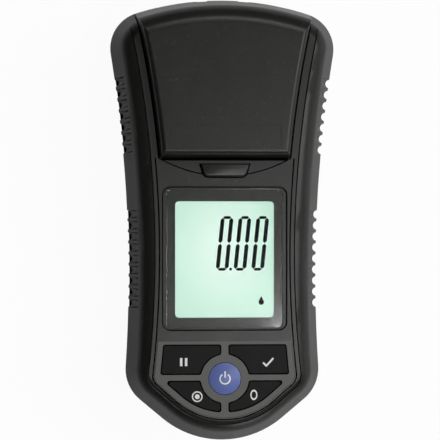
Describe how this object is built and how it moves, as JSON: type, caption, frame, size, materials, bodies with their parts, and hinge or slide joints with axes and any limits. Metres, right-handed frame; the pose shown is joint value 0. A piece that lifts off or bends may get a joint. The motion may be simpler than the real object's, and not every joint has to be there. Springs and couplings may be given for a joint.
{
  "type": "turbidity meter",
  "caption": "Hand-held turbidity meter with a hinged lid over a round sample well, a segment display, a keypad and a battery bay in its foot.",
  "frame": {"origin": "middle of the meter's outline, on the surface that its foot rests on", "axes": "+Z out of the display; +Y from the tail towards the lid's hinge; +X to the right of the keypad"},
  "size_m": [0.079, 0.1549, 0.062],
  "materials": {
    "case": "fine satin grain",
    "panel": "satin",
    "lid": "satin",
    "keypad_plate": "satin",
    "key": "satin",
    "power_key": "semi-gloss",
    "silicone": "matt",
    "lens": "clear, polished",
    "mask": "printed, matt",
    "light_guide": "frosted",
    "lcd": "smooth, mint green",
    "inner_plastic": "matt",
    "circuit_board": "semi-gloss",
    "screw": "satin",
    "compartment": "matt, light-absorbing",
    "optic": "smooth",
    "ribbon": "satin",
    "battery": "semi-gloss sleeve",
    "contact": "nickel plated",
    "foam": "open-cell foam",
    "pin": "satin"
  },
  "bodies": {
    "case": {"rear_case": "case", "front_case": "case", "front_panel": "panel", "keypad_plate": "keypad_plate", "key_mat": "silicone", "display_lens": "lens", "lens_mask": "mask", "light_guide": "light_guide", "lcd_glass": "lcd", "lcd_frame": "inner_plastic", "main_board": "circuit_board", "board_screws": "screw", "case_screws": "screw", "sample_deck": "compartment", "deck_screws": "screw", "sample_well": "compartment", "optics_block": "compartment", "infrared_emitter": "optic", "scatter_detector": "optic", "amplifier_board": "circuit_board", "ribbon_cable": "ribbon", "batteries": "battery", "battery_contacts": "contact", "hinge_pin": "pin"},
    "lid": {"lid": "lid", "lid_baffle": "compartment", "lid_seal": "foam"},
    "hold_key": {"hold_key": "key"},
    "test_key": {"test_key": "key"},
    "record_key": {"record_key": "key"},
    "zero_key": {"zero_key": "key"},
    "power_key": {"power_key": "power_key"},
    "battery_door": {"battery_door": "case", "door_screw": "screw"}
  },
  "joints": [
    {"name": "lid_hinge", "type": "hinge", "parent": "case", "child": "lid", "pos_m": [0, 0.0749, 0.043], "axis": [-1, 0, 0], "range_deg": [0, 95]},
    {"name": "hold_key_press", "type": "slide", "parent": "case", "child": "hold_key", "axis": [0, 0, -1], "range_m": [0, 0.0008], "stiffness_N_per_m": 400},
    {"name": "test_key_press", "type": "slide", "parent": "case", "child": "test_key", "axis": [0, 0, -1], "range_m": [0, 0.0008], "stiffness_N_per_m": 400},
    {"name": "record_key_press", "type": "slide", "parent": "case", "child": "record_key", "axis": [0, 0, -1], "range_m": [0, 0.0008], "stiffness_N_per_m": 400},
    {"name": "zero_key_press", "type": "slide", "parent": "case", "child": "zero_key", "axis": [0, 0, -1], "range_m": [0, 0.0008], "stiffness_N_per_m": 400},
    {"name": "power_key_press", "type": "slide", "parent": "case", "child": "power_key", "axis": [0, 0, -1], "range_m": [0, 0.0008], "stiffness_N_per_m": 400},
    {"name": "battery_door_slide", "type": "slide", "parent": "case", "child": "battery_door", "axis": [0, 0, -1], "range_m": [0, 0.012]}
  ]
}
